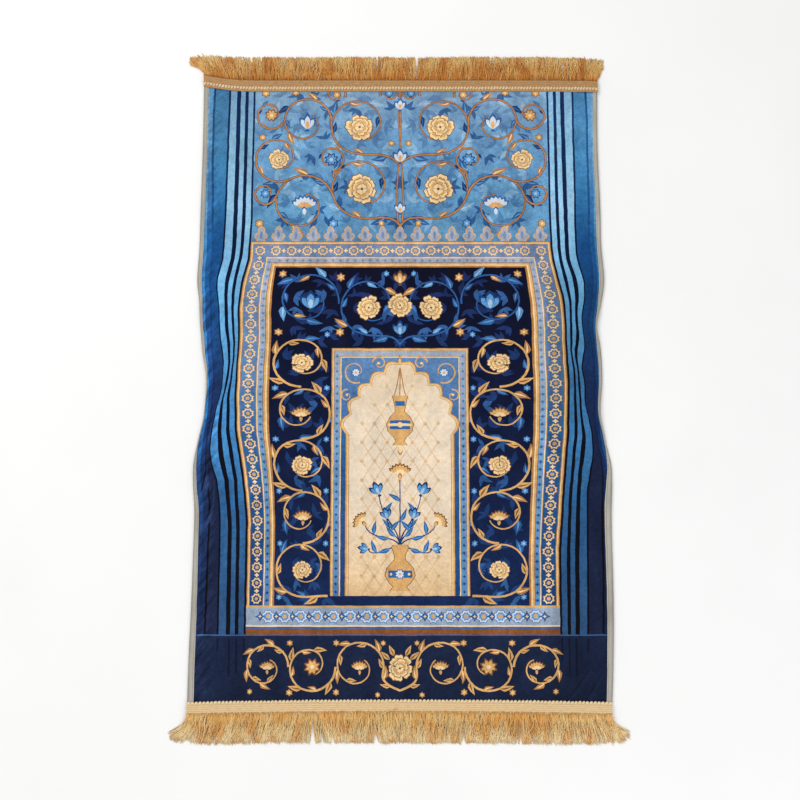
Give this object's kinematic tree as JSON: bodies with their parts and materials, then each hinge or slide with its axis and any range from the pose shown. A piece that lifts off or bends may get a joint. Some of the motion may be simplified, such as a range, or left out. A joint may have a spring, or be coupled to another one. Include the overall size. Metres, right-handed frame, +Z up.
{
  "type": "prayer rug",
  "caption": "Printed plush prayer rug lying flat, its long edges bound and a little wavy, with a beaded heading tape and a short fringe at each end.",
  "frame": {"origin": "centre of the rug's plan, fringes included, on the surface that it lies on", "axes": "+Y along the rug to its top end, where the niche points, +X to its right side, +Z up out of the pile"},
  "size_m": [0.7045, 1.1219, 0.0137],
  "materials": {
    "plush": "short cut pile with a soft sheen, printed in blues, navy, gold and cream",
    "binding_tape": "greige woven tape with a satin sheen",
    "fringe_yarn": "golden rayon yarn with a soft gloss"
  },
  "bodies": {
    "root": {"rug_body": "plush", "binding_left": "binding_tape", "binding_right": "binding_tape", "fringe_top": "fringe_yarn", "fringe_bottom": "fringe_yarn"}
  },
  "joints": []
}
